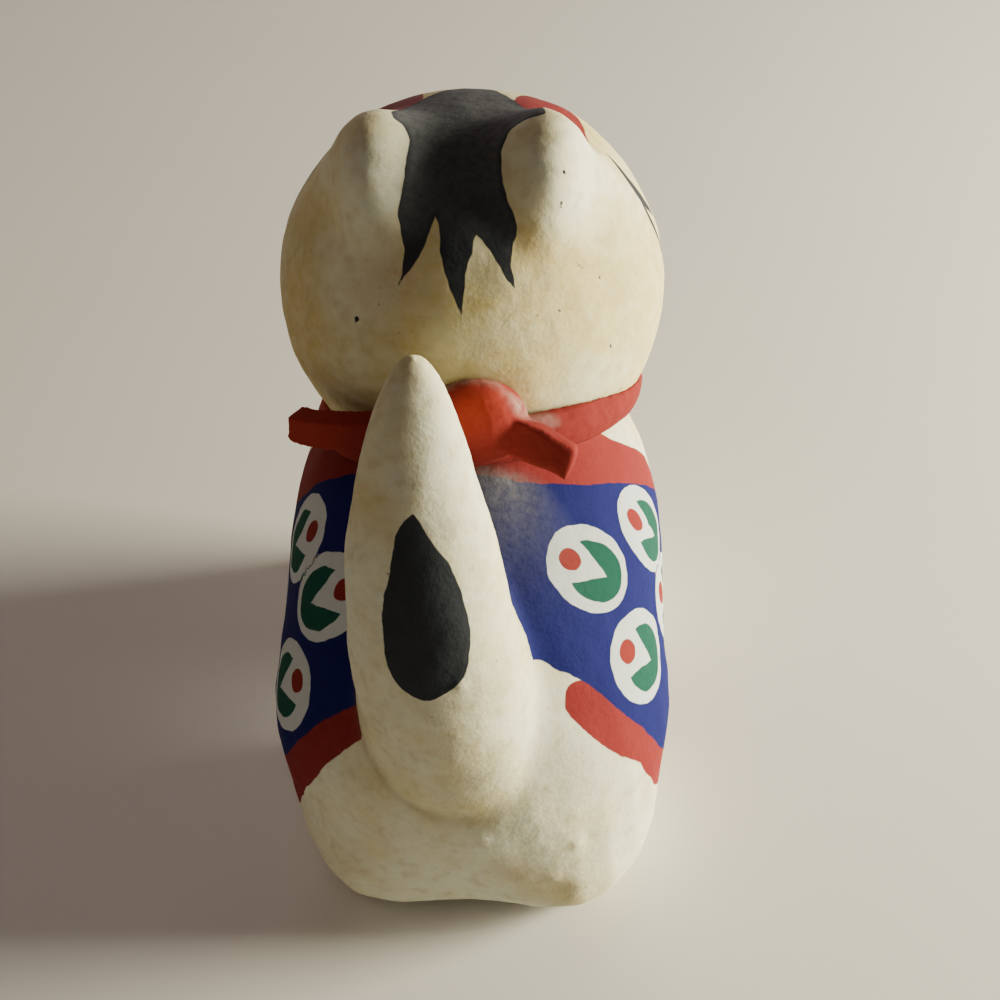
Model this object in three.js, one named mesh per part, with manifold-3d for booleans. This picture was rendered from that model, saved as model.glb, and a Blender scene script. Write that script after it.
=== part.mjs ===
// A papier-mache dog, the kind that stands on a shelf: one pasted shell with the head, the ears,
// the body and the legs, a tail moulded apart and glued on, and a red paper ribbon round the neck.
// Millimetres, +Z up. The dog faces -Y, its left side is +X, and it stands on Z = 0.
// The pasted shell is sealed, so each piece is one solid inside its skin.
import * as THREE from 'three';
import Module from 'manifold-3d';
import { mergeVertices } from 'three/addons/utils/BufferGeometryUtils.js';

const wasm = await Module();
wasm.setup();

const degrees = THREE.MathUtils.degToRad;
const place = (x, y, z) => new THREE.Vector3(x, y, z);

// ---------------------------------------------------------------- driving sizes

const GLUE_GAP = 0.3; // between pieces that are pasted together

// The head is very nearly a ball, with a low muzzle in front.
const HEAD_RADIUS = 37;
const HEAD = place(0, -20, 101);
const MUZZLE = { down: 10, reach: 33, wide: 13, deep: 9, high: 9.5, soft: 8 };

// Each ear is a thick petal on the crown. lift is how far round it stands from the back of the
// head, so that 90 would be straight up, and splay leans it outwards.
const EAR = { apart: 14, out: 29.5, lift: degrees(73), splay: degrees(6), soft: 5 };
const EAR_HALF = place(8.6, 14.5, 12.5);

// The body is three swollen forms that run into each other, on four stubby feet. The right hind
// foot stands a little further out than the left one.
const RUMP = { at: place(0, 28, 30), half: place(40.5, 34, 31) };
const CHEST = { at: place(0, -14, 42), half: place(35.5, 36, 44) };
const BACK = { at: place(0, 7, 54), half: place(35.5, 47, 33.5), slope: degrees(-40) };
const HIND_FOOT = { left: 15.5, right: -18.2, y: 36, z: 12, half: place(20, 26.5, 17), soft: 22 };
const FORE_FOOT = { at: place(17, -27, 10), half: place(14, 18, 18), soft: 6 };
const BODY_SOFT = { trunk: 22, back: 14, hind: 9, fore: 8 };

// Arches under the belly: one from side to side, and two low ones between the feet.
const BELLY_ARCH = { y: 2, half: 13, high: 15 };
const HIND_ARCH = { half: 13, high: 3.8 };
const FORE_ARCH = { half: 5.8, high: 10 };

// The tail is an egg drawn out upwards. It leans forward as it rises, and a little to the left.
const TAIL = { widest: 44, up: 74.5, down: 19, wide: 17.2, thick: 14 };
const TAIL_LEAN = { y: 47.5, forward: 24 };
const TAIL_DRIFT = { from: 36, over: 78, x: -1.4, left: 7.6 };

// The ribbon is a flattened roll round the neck. It is high at the nape and low at the throat, sags
// a little on the left, and has a knot at the nape with two stiff ends that are cut square.
const ROLL = { x: -0.8, wide: 30, y: -13, reach: 32, z: 78.6, rise: 12.5, bow: 2.8, sag: 4.6 };
const ROLL_HALF = { high: 4.8, thick: 2.8 };
const KNOT = { at: place(-3, 18.6, 99.6), half: place(9.5, 6.6, 8.6) };
const LEFT_END = {
  from: place(0, 19, 99), over: place(20, 20, 96), to: place(31, 11.5, 92),
  width: 8.6, taper: 0.25, thick: 4, across: place(-0.12, 0.1, 1),
};
const RIGHT_END = {
  from: place(-4, 20, 100.4), over: place(-13, 22.5, 99.2), to: place(-20.3, 25.2, 95.7),
  width: 6.6, taper: 0.06, thick: 4.4, across: place(-0.35, -0.5, 1),
};

// How finely the round forms are divided.
const FINE = { head: [48, 36], body: [48, 34], tail: [26, 24], roll: [10, 56], knot: [16, 12] };

// ---------------------------------------------------------------- solids

function toSolid(geometry) {
  const bare = geometry.clone();
  bare.deleteAttribute('normal');
  bare.deleteAttribute('uv');
  const merged = mergeVertices(bare, 1e-5);
  return new wasm.Manifold(new wasm.Mesh({
    numProp: 3,
    vertProperties: Float32Array.from(merged.attributes.position.array),
    triVerts: Uint32Array.from(merged.index.array),
  }));
}

function toGeometry(solid) {
  const mesh = solid.getMesh();
  const geometry = new THREE.BufferGeometry();
  geometry.setAttribute('position', new THREE.BufferAttribute(mesh.vertProperties, 3));
  geometry.setIndex(new THREE.BufferAttribute(mesh.triVerts, 1));
  geometry.computeVertexNormals();
  return geometry;
}

function reshape(geometry, move) {
  const positions = geometry.attributes.position;
  for (let i = 0; i < positions.count; i += 1) {
    const point = new THREE.Vector3().fromBufferAttribute(positions, i);
    const moved = move(point);
    positions.setXYZ(i, moved.x, moved.y, moved.z);
  }
  return geometry;
}

// ---------------------------------------------------------------- forms that run into each other
// A form is a function of a point that is below zero inside it, zero on its skin and above zero
// outside, in millimetres near the skin.

function ellipsoid({ at, half, turn = new THREE.Euler() }) {
  const toLocal = new THREE.Matrix4();
  toLocal.compose(at, new THREE.Quaternion().setFromEuler(turn), place(1, 1, 1)).invert();
  return (point) => {
    const scaled = point.clone().applyMatrix4(toLocal).divide(half);
    const inside = scaled.length();
    const slope = scaled.divide(half).length();
    return (inside * (inside - 1)) / Math.max(slope, 1e-9);
  };
}

function join(a, b, soft) {
  return (point) => {
    const [da, db] = [a(point), b(point)];
    const mix = THREE.MathUtils.clamp(0.5 + (0.5 * (db - da)) / soft, 0, 1);
    return db * (1 - mix) + da * mix - soft * mix * (1 - mix);
  };
}

function pair(form, soft) {
  const otherSide = (point) => form(place(-point.x, point.y, point.z));
  return join(form, otherSide, soft);
}

// A ball of faces blown out from a centre until each of its points lies on the form's skin, or
// outside it by grow.
function swell(form, centre, [around, up], grow) {
  const farthest = 120;
  const stride = 2;
  const ball = new THREE.SphereGeometry(1, around, up).rotateX(Math.PI / 2);
  return reshape(ball, (direction) => {
    const ray = direction.normalize();
    const at = (reach) => ray.clone().multiplyScalar(reach).add(centre);
    let outer = stride;
    while (form(at(outer)) < grow && outer < farthest) {
      outer += stride;
    }
    let inner = outer - stride;
    for (let halving = 0; halving < 16; halving += 1) {
      const middle = (inner + outer) / 2;
      if (form(at(middle)) < grow) inner = middle;
      else outer = middle;
    }
    return at(outer);
  });
}

// ---------------------------------------------------------------- the dog's shell

function headForm() {
  const ball = ellipsoid({ at: HEAD, half: place(HEAD_RADIUS, HEAD_RADIUS, HEAD_RADIUS) });
  const muzzle = ellipsoid({
    at: HEAD.clone().add(place(0, -MUZZLE.reach, -MUZZLE.down)),
    half: place(MUZZLE.wide, MUZZLE.deep, MUZZLE.high),
  });
  const turn = new THREE.Euler(EAR.lift - Math.PI / 2, EAR.splay, 0);
  const middle = place(EAR.apart, EAR.out * Math.cos(EAR.lift), EAR.out * Math.sin(EAR.lift));
  const ear = ellipsoid({ at: middle.add(HEAD), half: EAR_HALF, turn });
  return join(join(ball, pair(ear, EAR.soft), EAR.soft), muzzle, MUZZLE.soft);
}

function bodyForm() {
  const back = ellipsoid({ ...BACK, turn: new THREE.Euler(BACK.slope, 0, 0) });
  const trunk = join(join(ellipsoid(RUMP), ellipsoid(CHEST), BODY_SOFT.trunk), back, BODY_SOFT.back);
  const hindFoot = (x) => ellipsoid({ at: place(x, HIND_FOOT.y, HIND_FOOT.z), half: HIND_FOOT.half });
  const hindFeet = join(hindFoot(HIND_FOOT.left), hindFoot(HIND_FOOT.right), HIND_FOOT.soft);
  const hind = join(trunk, hindFeet, BODY_SOFT.hind);
  return join(hind, pair(ellipsoid(FORE_FOOT), FORE_FOOT.soft), BODY_SOFT.fore);
}

// A round-topped tunnel along X or Y, open below.
function arch({ half, high }, along, from, to) {
  const sides = 24;
  const tunnel = new THREE.CylinderGeometry(1, 1, to - from, sides);
  if (along === 'x') tunnel.rotateZ(Math.PI / 2).scale(1, half, high);
  else tunnel.scale(half, 1, high);
  const middle = (from + to) / 2;
  return toSolid(along === 'x' ? tunnel.translate(middle, BELLY_ARCH.y, 0) : tunnel.translate(0, middle, 0));
}

function dogSolid(grow) {
  const bodyCentre = place(0, 6, 45);
  const head = toSolid(swell(headForm(), HEAD, FINE.head, grow));
  const body = toSolid(swell(bodyForm(), bodyCentre, FINE.body, grow));
  const farOut = 90;
  const underGround = new THREE.BoxGeometry(2 * farOut, 2 * farOut, farOut).translate(0, 0, -farOut / 2);
  return head.add(body)
    .subtract(toSolid(underGround))
    .subtract(arch(BELLY_ARCH, 'x', -farOut, farOut))
    .subtract(arch(HIND_ARCH, 'y', BELLY_ARCH.y, farOut))
    .subtract(arch(FORE_ARCH, 'y', -farOut, BELLY_ARCH.y));
}

// ---------------------------------------------------------------- the tail

function tailSolid(grow) {
  const egg = new THREE.SphereGeometry(1, ...FINE.tail).rotateX(Math.PI / 2);
  return toSolid(reshape(egg, (point) => {
    const z = TAIL.widest + point.z * (point.z > 0 ? TAIL.up : TAIL.down);
    const risen = Math.max(z - TAIL.widest, 0) / (TAIL.up);
    const along = THREE.MathUtils.clamp((z - TAIL_DRIFT.from) / TAIL_DRIFT.over, 0, 1);
    return place(
      TAIL_DRIFT.x + TAIL_DRIFT.left * along * (2 - along) + point.x * (TAIL.wide + grow),
      TAIL_LEAN.y - TAIL_LEAN.forward * risen ** 2 + point.y * (TAIL.thick + grow),
      z + point.z * grow,
    );
  }));
}

// ---------------------------------------------------------------- the neck ribbon

function rollSolid() {
  const [section, around] = FINE.roll;
  const torus = new THREE.TorusGeometry(10, 1, section, around);
  return toSolid(reshape(torus, (point) => {
    const angle = Math.atan2(point.y, point.x);
    const out = Math.hypot(point.x, point.y) - 10;
    const round = { x: Math.cos(angle), y: Math.sin(angle) };
    const middle = ROLL.z + round.y * ROLL.rise + round.y ** 2 * ROLL.bow - round.x * ROLL.sag;
    return place(
      ROLL.x + round.x * (ROLL.wide + out * ROLL_HALF.thick),
      ROLL.y + round.y * (ROLL.reach + out * ROLL_HALF.thick),
      middle + point.z * ROLL_HALF.high,
    );
  }));
}

function knotSolid() {
  const lump = new THREE.SphereGeometry(1, ...FINE.knot).rotateX(Math.PI / 2);
  lump.scale(KNOT.half.x, KNOT.half.y, KNOT.half.z);
  return toSolid(lump.translate(KNOT.at.x, KNOT.at.y, KNOT.at.z));
}

// A stiff flat end: a bar laid along a curve, with its width across and its thickness outwards.
function endSolid({ from, over, to, width, taper, thick, across }) {
  const steps = 8;
  const path = new THREE.QuadraticBezierCurve3(from, over, to);
  const wide = across.clone().normalize();
  const bar = new THREE.BoxGeometry(1, width, thick, steps, 2, 1);
  return toSolid(reshape(bar, (point) => {
    const along = point.x + 0.5;
    const outwards = new THREE.Vector3().crossVectors(path.getTangent(along), wide).normalize();
    return path.getPoint(along)
      .addScaledVector(wide, point.y * (1 - taper * along))
      .addScaledVector(outwards, point.z);
  }));
}

// ---------------------------------------------------------------- the figure

function piece(name, solid, colour, roughness) {
  const material = new THREE.MeshStandardMaterial({ color: colour, roughness, metalness: 0 });
  const mesh = new THREE.Mesh(toGeometry(solid), material);
  mesh.name = name;
  return mesh;
}

const dog = dogSolid(0);
const dogAndGap = dogSolid(GLUE_GAP);
const tail = tailSolid(0).subtract(dogAndGap);
const ribbon = rollSolid()
  .add(knotSolid())
  .add(endSolid(LEFT_END))
  .add(endSolid(RIGHT_END))
  .subtract(dogAndGap)
  .subtract(tailSolid(GLUE_GAP));

const figure = new THREE.Group();
figure.add(piece('dog', dog, '#e8e0cc', 0.85));
figure.add(piece('tail', tail, '#e8e0cc', 0.85));
figure.add(piece('neck_ribbon', ribbon, '#c23c2c', 0.8));

// The origin is the middle of the footprint of the whole figure's box.
const box = new THREE.Box3().setFromObject(figure);
figure.position.set(-(box.min.x + box.max.x) / 2, -(box.min.y + box.max.y) / 2, -box.min.z);

export default figure;
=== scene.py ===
import math

import bpy
import numpy as np
from bpy.props import FloatProperty, FloatVectorProperty, PointerProperty
from mathutils import Matrix, Vector
from mathutils.bvhtree import BVHTree


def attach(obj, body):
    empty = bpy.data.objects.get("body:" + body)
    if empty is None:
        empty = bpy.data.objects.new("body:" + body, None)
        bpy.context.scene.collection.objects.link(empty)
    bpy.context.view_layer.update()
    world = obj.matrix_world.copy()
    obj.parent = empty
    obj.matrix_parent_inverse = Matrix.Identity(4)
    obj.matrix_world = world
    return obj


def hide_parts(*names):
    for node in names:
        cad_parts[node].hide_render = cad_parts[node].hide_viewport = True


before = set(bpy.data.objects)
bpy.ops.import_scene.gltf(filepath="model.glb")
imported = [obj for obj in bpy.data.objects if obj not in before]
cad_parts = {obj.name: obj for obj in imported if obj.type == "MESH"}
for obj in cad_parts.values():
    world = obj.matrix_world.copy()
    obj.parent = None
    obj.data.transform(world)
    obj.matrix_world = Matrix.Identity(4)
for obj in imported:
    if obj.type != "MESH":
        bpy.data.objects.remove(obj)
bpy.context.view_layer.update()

bl_info = {
    "name": "Papier-mache dog",
    "version": (1, 0, 0),
    "blender": (4, 5, 0),
    "location": "3D View > Sidebar > Paper dog",
    "description": "A standing papier-mache dog, gessoed and painted by hand, with a red ribbon",
    "category": "Object",
}

MM = 0.001  # sizes below are in millimetres unless they say otherwise


def colour(code):
    """An sRGB hex colour as linear red, green, blue and one for alpha."""
    parts = [int(code[i:i + 2], 16) / 255 for i in (1, 3, 5)]
    linear = [p / 12.92 if p <= 0.04045 else ((p + 0.055) / 1.055) ** 2.4 for p in parts]
    return (*linear, 1.0)


# ---------------------------------------------------------------- sizes that the shell was cut to

HEAD = Vector((0.0, -20.1, 101.0))
HEAD_RADIUS = 37.0
EAR_MIDDLE = Vector((14.0, -11.5, 129.2))
EAR_SLOPE = math.radians(-17)
BODY_AXIS_Y = 5.0  # the coat is measured round an upright line through here

TAIL = {"widest": 44.0, "up": 74.5, "down": 19.0, "wide": 17.2, "thick": 14.0, "y": 47.4, "forward": 24.0}
TAIL_DRIFT = {"from": 36.0, "over": 78.0, "x": -1.4, "left": 7.6}
# Millimetres up, and the share of the tail's width that is left there.
TAIL_TAPER = ((44, 1.0), (59, 0.965), (78, 0.95), (90, 0.965), (102, 0.9), (118, 0.9))
TAIL_FINENESS = 96  # facets round the tail, and rings along it

# The skin reaches no further than this to the sides, to the front and back, and up. Lower than
# SOLE, it is flat on the ground.
WIDEST = 40.4
DEEPEST = 62.1
EARS_TOP = 141.6
SOLE = 0.5

# ---------------------------------------------------------------- paint outlines
# Crown: millimetres to the dog's left, and millimetres over the head from its middle at the back.
HAIR = (
    ((0, 82), (6, 73), (10, 65), (12, 57), (11.6, 52.5), (9.6, 50.8), (8.6, 48.5), (8.5, 45),
     (9, 41), (9.6, 37), (9.8, 34.5), (9.2, 31), (8.7, 28), (9.2, 25.5), (9.9, 22.6)),
    ((9.9, 22.6), (7.6, 25.5), (5.8, 28.5), (4.4, 32), (3.4, 35)),
    ((3.4, 35), (2.8, 32), (2.1, 27), (0.8, 22.5), (-1, 17.1)),
    ((-1, 17.1), (-1.4, 20.5), (-1.9, 25), (-2.8, 28.5), (-3.3, 31.8)),
    ((-3.3, 31.8), (-4.6, 30.4), (-6.2, 28.4), (-7.8, 25.3), (-10.1, 22.2)),
    ((-10.1, 22.2), (-9.3, 26), (-9.6, 29.8), (-10.3, 31.8), (-9.6, 35), (-8.2, 38.5), (-7.4, 43.5),
     (-7.4, 47), (-8.8, 50.2), (-11.2, 51.2), (-14.4, 51.6), (-14.6, 54), (-13, 58), (-10, 65), (-6, 73),
     (0, 82)),
)

# Coat and the red border round it: degrees round the body from the spine, and millimetres up.
COAT_TOP_RIGHT = ((0, 87), (20, 86.2), (36, 85), (52, 83.3), (66, 80.8), (80, 76.8), (88, 72.8), (97, 66),
                  (104, 59), (109, 50), (111, 40), (111, 30), (107, 23.5))
COAT_TOP_LEFT = ((0, 88.6), (20, 87.8), (36, 86.2), (52, 84.3), (68.8, 81.2), (74.1, 78.8), (80.9, 75),
                 (85.2, 70), (93, 62), (101, 55), (108, 47), (111, 38), (111, 30), (107, 23.5))
COAT_HEM_RIGHT = ((107, 23.5), (95, 20.5), (80, 19.5), (65, 20.5), (56, 23), (49, 31), (45.5, 38), (41.6, 43.6),
                  (38.5, 48.4), (35.9, 51.9), (31.7, 56.3), (25.3, 60.3), (21.8, 62.4), (17.8, 64.2), (0, 72))
COAT_HEM_LEFT = ((107, 23.5), (95, 20.5), (80, 19.5), (62, 20.5), (51, 23), (44, 31), (40, 38), (36, 43.6),
                 (31, 49.3), (24.5, 54.2), (18, 57), (0, 60))
BORDER_FRONT = ((0, 120), (94, 120), (95, 86), (98.5, 78.5), (105, 71.6), (112, 61), (117, 51), (119, 40),
                (119, 28), (116, 19))
BORDER_RIGHT = ((116, 19), (108, 14.5), (95, 12.5), (80, 11.5), (62, 12.5), (52, 16), (46.5, 21.5), (42.8, 29),
                (40, 35.2), (36.5, 39.4), (31, 46), (27.6, 50.4), (25.5, 53.1), (25.3, 54.6), (26.6, 56.4),
                (29.4, 57), (32.5, 56.2))
BORDER_LEFT = ((116, 19), (108, 14.5), (95, 12.5), (80, 11.5), (60, 12.5), (48, 15), (41, 18), (38, 24), (36, 28),
               (31.7, 36.6), (26.3, 44.8), (20, 51.2), (19, 54))
BORDER_INSIDE = ((36, 62), (20, 75), (0, 90))
COAT_SCALE = 0.7  # millimetres round the body to a degree, near enough for the paint's edges
NECK = {"up": 94.0, "off_head": 0.4}  # no coat is painted above this, or this near the head

# White discs on the coat: degrees round from the spine (left is positive), millimetres up, turn of
# the motif, half length and half width, and the lean of the length from level towards upright.
DISCS = (
    (-47.5, 70.4, 0, 10.0, 7.6, 119), (-78.8, 65.9, -8, 10.7, 7.4, 100), (-52.1, 50.9, 3, 9.8, 9.0, 113),
    (-78.8, 47.5, 0, 10.0, 8.4, 105), (-68, 27, 0, 9.5, 8.2, 110), (-102.5, 33.5, 6, 9.0, 7.4, 95),
    (71.9, 65.7, -4, 10.9, 7.4, 98), (46.7, 64.6, 4, 11.4, 8.1, 125), (49.2, 45.0, 2, 9.8, 9.0, 129),
    (82, 43, 0, 10.0, 8.2, 105), (66, 27, 0, 9.5, 8.2, 110), (102.5, 33.5, 6, 9.0, 7.4, 95),
)
# On a disc of the even radius: the dot and the leaf, how far each lies from the middle, and the tip
# of the notch in the leaf.
DISC = {"radius": 8.8, "dot": 2.2, "dot_out": 4.3, "leaf": 6.2, "leaf_back": 1.2, "notch_back": 3.7}
NOTCH_HALF = math.radians(33)
DISC_TURN = math.radians(130)

# How the tail is pasted on: the skin is softened this near the seam, the more the higher up.
PASTE = {"reach": 4.0, "near": 1.3, "from": 38.0, "over": 14.0, "least": 0.25, "times": 28}
# How the outer side of each ear runs into the head.
EAR_JOIN = {"out": 17.0, "over": 3.0, "up": 112.0, "near": 1.4, "off_head": 1.5, "reach": 3.0, "times": 20}
SMOOTHING = {"factor": 0.5, "skin": 11, "painted": 2}
LUMP_SIZES = {"paper": 15.0, "creases": 6.0, "gesso": 3.2}

# Where the paper swells, or sinks where the height is below 0: place, width and height. First the
# crown, the ears and the right flank, then small bumps.
BUMPS = (
    ((0, -28, 137), 13, -1.4), ((18, -20.5, 136), 6, -2.4), ((-18, -20.5, 136), 6, -2.4),
    ((20, -14, 138), 5, 0.5), ((-20, -14, 138), 5, 0.5),
    ((25.5, -14, 130.5), 6.5, 1.5), ((-25.5, -14, 130.5), 6.5, 1.3), ((-36, 10, 66), 20, 1.2),
    ((-4.2, 61.3, 33), 1.1, 0.5), ((-4.8, 61.4, 31.6), 0.8, 0.4), ((-21.9, 57.3, 25.8), 1.3, 0.45),
    ((-17.7, 60.6, 18.6), 0.9, 0.4), ((-11.9, 61.7, 19.8), 0.9, 0.35), ((-1.6, 55.7, 72.7), 1.0, 0.5),
)
# Short creases: stops, width and depth.
CREASES = (
    (((-17, 61.5, 15.9), (-21, 60.4, 14.6), (-25.5, 57.5, 13.6)), 1.6, 0.35),
)

# Black drop on the tail: millimetres to the dog's left, and up.
DROP = (
    (5.5, 100.4), (3.2, 97.3), (-0.1, 93.2), (-1.9, 88.7), (-3.2, 82.5), (-3.3, 77.7), (-2.3, 74.3), (-0.3, 72),
    (2.2, 70.7), (4.8, 70.3), (8.3, 72.1), (10.6, 76), (11.3, 81.5), (11, 86.7), (9.8, 91), (9.1, 95.4),
    (7.9, 98.4), (5.5, 100.4),
)

# Red inside each ear: a leaf shape, the height of its middle on the right and on the left ear, and
# how far in front of the ear's middle it starts on each.
EAR_RED = {"half": 7.2, "x": 1.5, "stretch": 1.5, "high": (2.2, 0.0), "front": (8.6, 12.0)}

# Ink. Brushed brows at the sides of the head, and a finer line under each: stops and widths.
BROWS = (
    (((25.3, -23.2, 127.6), (28, -22, 125.2), (30.2, -21.2, 122.4), (32.6, -22, 118.4), (34.4, -23.8, 114)),
     (0.5, 2.2, 2.8, 2.4, 0.5)),
    (((31.4, -20.4, 120.6), (33.3, -20.3, 117), (34.8, -20.6, 113.4), (36, -21, 108), (36.6, -21.5, 104)),
     (0.4, 1.3, 1.5, 1.2, 0.4)),
)
LEFT_BROW_AHEAD = 3.0  # the left brow lies this much nearer the face than the right one
# Face: lids, brows over the eyes, mouth and whiskers, in millimetres to the side and up on the front
# of the head, and their widths.
EYE = {"x": 13.0, "z": 103.0, "wide": 3.3, "high": 4.6}
FACE = (
    (((6.5, 107.5), (10.5, 110), (15.5, 109.6), (20, 105.5)), (0.4, 1.2, 1.2, 0.4)),
    (((7, 115.5), (11, 118.6), (16, 118.8), (20.5, 116)), (0.6, 2.0, 2.0, 0.5)),
    (((0, 90.4), (3.5, 88.4), (7.5, 89.4), (10, 92)), (1.0, 0.9, 0.8, 0.3)),
    (((0, 93.6), (0, 92), (0, 90.4)), (0.9, 0.8, 0.8)),
    (((14, 92.5), (19, 92.8), (24, 94.6)), (0.8, 0.6, 0.2)),
    (((14, 89.5), (19, 88.6), (24, 88.8)), (0.8, 0.6, 0.2)),
)
NOSE = {"z": 94.8, "wide": 2.8, "high": 1.7}
HEAD_PAINT_REACH = 9.0  # brows and face lie this near the ball of the head
# Specks and hairline scratches on the head and the tail: ends and width.
FLECKS = (
    ((-18, -2.4, 136.7), (-18.3, -2.0, 136.5), 0.65), ((-17.6, 0.3, 132.6), (-17.6, 0.9, 131.9), 0.5),
    ((-25.8, -9.4, 125.4), (-26, -9.3, 125.1), 0.5), ((-24.4, 1.6, 118.2), (-24.6, 1.7, 118), 0.6),
    ((-17.5, 8.6, 116.3), (-17.7, 8.6, 116.1), 0.5), ((-26.5, 5.1, 106), (-26.6, 5.1, 105.7), 0.6),
    ((17.5, 9.4, 114.7), (17.7, 9.4, 114.4), 1.1), ((-20.1, 2.8, 122.1), (-21.3, 2.7, 120.9), 0.4),
    ((-23.6, -11.8, 130.4), (-26.6, -13.6, 126), 0.35), ((-24, -10.3, 129.1), (-26.7, -12.7, 125.6), 0.35),
    ((-7.7, 50.8, 74.7), (-7.6, 51.6, 73.5), 0.4), ((-5.4, 54.8, 69.7), (-5.3, 54.9, 69.4), 0.7),
)
# Rusty stains: place and width.
STAINS = (((-9.4, 61.3, 23.1), 3.0), ((-13.2, 5.5, 127.0), 2.4), ((-20, 50, 40), 5.0), ((10, 8, 122), 5.0))
# Dust under the coat's upper edge: how fast it thins out down and up, the degrees between which it
# lies on the right, how softly it starts and ends, and how much of it there is.
DUST = {"down": 5.0, "over": 1.2, "from": 8.0, "start": 6.0, "to": 52.0, "end": 20.0, "share": 0.8}
# Painted highlight on the crown: the hair turns a lighter grey up from this height, over this many millimetres, by
# this share.
CROWN_LIGHT = {"up": 127.0, "over": 10.0, "share": 0.38}
AGED_REACH = 3.0  # the head has yellowed, up to this far off its ball
# Painted shade along the seam under the tail.
CREASE_SHADE = {"wide": 0.9, "top": 62.0, "over": 10.0, "off_body": 1.6, "share": 0.6}
FAR = 1e9  # further than any point lies from anything

# Ribbon: dusty line over the knot with its widths, a painted highlight on the knot's bulge, painted shade on
# the right end, its worn tip, and painted light that lifts the shaded left end.
KNOT_RIM = ((1.5, 17.9, 107.2), (-2.4, 17.2, 108), (-5.8, 17.4, 107.8), (-8.6, 18.8, 106.5), (-10.6, 19.6, 104.4),
            (-13, 17.5, 100.5), (-17, 16, 97.4))
KNOT_RIM_WIDE = (1.4, 1.8, 1.6, 1.4, 2.4, 3.6, 1.0)
RIM_SOFT = 2.4
KNOT_HIGHLIGHT = {"at": (-5.5, 21.3, 106.2), "wide": 5.0}
RIGHT_END_SHADE = {"at": (-17.0, 25.5, 99.0), "wide": 8.5}
RIGHT_TIP = {"at": (-21.0, 26.5, 97.0), "near": 1.6, "wide": 5.0, "times": 60}
LEFT_END_LIGHT = {"from": 14.0, "over": 12.0, "share": 0.8}
RIBBON_RELIEF = {"paper": (6.0, 0.5), "creases": (1.8, 0.16)}  # size and depth


class FigureSizes(bpy.types.PropertyGroup):
    grain: FloatProperty(
        name="Skin fineness", description="How finely the dog's skin is divided", default=1.02 * MM,
        unit="LENGTH")
    lumps: FloatProperty(
        name="Paper lumps", description="How far the pasted paper swells and sinks", default=0.75 * MM,
        unit="LENGTH")
    grit: FloatProperty(
        name="Gesso grit", description="How far the brushed gesso stands up", default=0.1 * MM, unit="LENGTH")
    ribbon_grain: FloatProperty(
        name="Ribbon fineness", description="How finely the ribbon is divided", default=0.4 * MM, unit="LENGTH")


class FigureColours(bpy.types.PropertyGroup):
    gofun: FloatVectorProperty(
        name="Gofun", description="Shell-white gesso", subtype="COLOR", size=4, default=colour("#DCDDC8"))
    aged: FloatVectorProperty(
        name="Aged gofun", description="Where the gesso has yellowed", subtype="COLOR", size=4,
        default=colour("#CDBA7C"))
    blue: FloatVectorProperty(
        name="Coat blue", description="Ultramarine of the coat", subtype="COLOR", size=4, default=colour("#0F1458"))
    red: FloatVectorProperty(
        name="Coat red", description="Vermilion of the yoke and the hem", subtype="COLOR", size=4,
        default=colour("#7B2425"))
    green: FloatVectorProperty(
        name="Leaf green", description="Green of the leaf on each disc", subtype="COLOR", size=4,
        default=colour("#0E493D"))
    ink: FloatVectorProperty(
        name="Ink", description="Black of the hair, the tail drop and the face", subtype="COLOR", size=4,
        default=colour("#2D3036"))
    ribbon: FloatVectorProperty(
        name="Ribbon red", description="Red of the neck ribbon", subtype="COLOR", size=4, default=colour("#741F1E"))
    floor: FloatVectorProperty(
        name="Floor", description="Pale paper under the figure", subtype="COLOR", size=4, default=colour("#EEEBE8"))


# ---------------------------------------------------------------- workbench

def pick(piece):
    """Select one piece and nothing else, and make it the active one."""
    bpy.ops.object.select_all(action="DESELECT")
    piece.select_set(True)
    bpy.context.view_layer.objects.active = piece


def finish_with(piece, kind, **settings):
    """Add one modifier to a piece and apply it."""
    pick(piece)
    modifier = piece.modifiers.new(kind.title(), kind)
    for name, value in settings.items():
        setattr(modifier, name, value)
    bpy.ops.object.modifier_apply(modifier=modifier.name)


def skin_points(piece):
    """A piece's vertices in millimetres."""
    flat = np.empty(len(piece.data.vertices) * 3, np.float32)
    piece.data.vertices.foreach_get("co", flat)
    return flat.reshape(-1, 3).astype(float) / MM


def skin_normals(piece):
    """The outward direction at each of a piece's vertices."""
    flat = np.empty(len(piece.data.vertices) * 3, np.float32)
    piece.data.vertices.foreach_get("normal", flat)
    return flat.reshape(-1, 3).astype(float)


def set_skin(piece, points):
    """Move a piece's vertices to these points in millimetres."""
    piece.data.vertices.foreach_set("co", (points * MM).astype(np.float32).ravel())
    piece.data.update()


def store(piece, name, values):
    """Keep one value, or one vector, for each vertex under a name that a material can read."""
    kind = "FLOAT_VECTOR" if values.ndim == 2 else "FLOAT"
    layer = piece.data.attributes.new(name, kind, "POINT")
    layer.data.foreach_set("vector" if values.ndim == 2 else "value", values.astype(np.float32).ravel())


def copy_of_node(node, name):
    """A merged copy of a CAD node, as a new piece."""
    piece = bpy.data.objects.new(name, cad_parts[node].data.copy())
    bpy.context.scene.collection.objects.link(piece)
    piece.data.materials.clear()
    pick(piece)
    bpy.ops.object.mode_set(mode="EDIT")
    bpy.ops.mesh.select_all(action="SELECT")
    bpy.ops.mesh.remove_doubles(threshold=0.002 * MM)
    bpy.ops.object.mode_set(mode="OBJECT")
    return piece


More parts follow.
